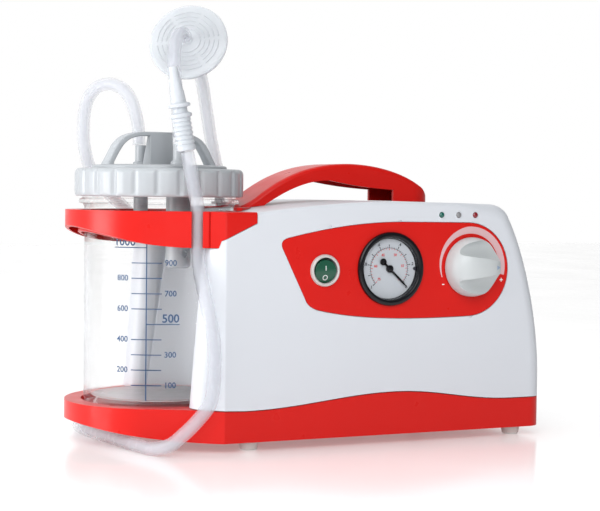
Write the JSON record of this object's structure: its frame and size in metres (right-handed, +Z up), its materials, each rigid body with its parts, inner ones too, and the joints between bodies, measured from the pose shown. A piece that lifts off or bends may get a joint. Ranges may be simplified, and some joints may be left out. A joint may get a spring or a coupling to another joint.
{
  "type": "portable medical suction pump",
  "caption": "Portable suction pump: wedge-ended housing with carry handle, vacuum gauge and regulator knob, clear collection jar in a side holder, bacterial filter and silicone hoses.",
  "frame": {"origin": "floor level, under the middle of the object without its hoses", "axes": "+X from the jar end to the control end, -Y towards the control panel, +Z up"},
  "size_m": [0.356, 0.2124, 0.3271],
  "materials": {
    "red_plastic": "gloss",
    "white_plastic": "satin",
    "light_grey_plastic": "satin",
    "clear_plastic": "gloss",
    "silicone": "satin",
    "black_plastic": "gloss",
    "dial_face": "matte",
    "knob_grey": "satin",
    "foot_rubber": "matte",
    "dark_rubber": "matte",
    "steel": "satin",
    "alloy": "satin",
    "board_green": "satin",
    "green_plastic": "gloss",
    "led_green_lens": "gloss",
    "led_amber_lens": "gloss",
    "led_red_lens": "gloss",
    "filter_paper": "matte"
  },
  "bodies": {
    "housing": {"base_tray": "red_plastic", "housing_shell": "white_plastic", "control_panel": "red_plastic", "jar_holder": "red_plastic", "carry_handle": "red_plastic", "foot_front_left": "foot_rubber", "foot_front_right": "foot_rubber", "foot_rear_left": "foot_rubber", "foot_rear_right": "foot_rubber", "case_screw_front_left": "steel", "case_screw_front_right": "steel", "case_screw_rear_left": "steel", "case_screw_rear_right": "steel", "rear_vent_grille": "white_plastic", "power_socket": "black_plastic", "fuse_holder": "black_plastic", "inlet_nozzle": "light_grey_plastic", "switch_bezel": "knob_grey", "gauge_case": "black_plastic", "gauge_dial": "dial_face", "gauge_lens": "clear_plastic", "regulator_valve": "alloy", "led_green": "led_green_lens", "led_amber": "led_amber_lens", "led_red": "led_red_lens", "patient_hose": "silicone", "inlet_hose": "silicone", "hose_connector": "light_grey_plastic", "pump_motor": "steel", "pump_frame": "alloy", "pump_cylinder": "alloy", "pump_head": "alloy", "battery": "black_plastic", "battery_strap": "steel", "circuit_board": "board_green", "gauge_line": "silicone", "suction_line": "silicone"},
    "rocker": {"switch_rocker": "green_plastic"},
    "knob": {"regulator_knob": "knob_grey"},
    "needle": {"gauge_needle": "black_plastic"},
    "jar": {"collection_jar": "clear_plastic", "lid_gasket": "dark_rubber", "lid_plate": "light_grey_plastic", "float_cage": "clear_plastic", "filter_hose": "silicone", "filter_front_shell": "clear_plastic", "filter_rear_shell": "clear_plastic", "filter_membrane": "filter_paper"},
    "lid_ring": {"lid_ring": "light_grey_plastic"},
    "float": {"valve_float": "silicone"},
    "crank": {"pump_crank": "steel"},
    "piston_rod": {"pump_piston_rod": "alloy"}
  },
  "joints": [
    {"name": "switch_tilt", "type": "hinge", "parent": "housing", "child": "rocker", "pos_m": [-0.013, -0.07625, 0.1299], "axis": [-1, 0, 0], "range_deg": [0, 18]},
    {"name": "regulator_turn", "type": "hinge", "parent": "housing", "child": "knob", "pos_m": [0.11, -0.08525, 0.1314], "axis": [0, -1, 0], "range_deg": [-25, 205]},
    {"name": "gauge_reading", "type": "hinge", "parent": "housing", "child": "needle", "pos_m": [0.041, -0.08025, 0.1305], "axis": [0, -1, 0], "range_deg": [0, 266], "stiffness_Nm_per_rad": 0.0004, "springref_deg": -34.38},
    {"name": "jar_lift", "type": "slide", "parent": "housing", "child": "jar", "axis": [0, 0, 1], "range_m": [0, 0.15], "deforming": ["patient_hose", "inlet_hose"]},
    {"name": "lid_ring_turn", "type": "hinge", "parent": "jar", "child": "lid_ring", "pos_m": [-0.108, 0.00975, 0.19], "axis": [0, 0, 1], "range_deg": [0, 400]},
    {"name": "float_rise", "type": "slide", "parent": "jar", "child": "float", "axis": [0, 0, 1], "range_m": [0, 0.018]},
    {"name": "motor_turn", "type": "hinge", "parent": "housing", "child": "crank", "pos_m": [0.048, 0.02775, 0.066], "axis": [1, 0, 0], "continuous": true},
    {"name": "rod_swing", "type": "hinge", "parent": "crank", "child": "piston_rod", "pos_m": [0.048, 0.02775, 0.07], "axis": [1, 0, 0], "continuous": true}
  ],
  "couplings": [
    {"joint": "rod_swing", "follows": "motor_turn", "ratio": -1}
  ]
}
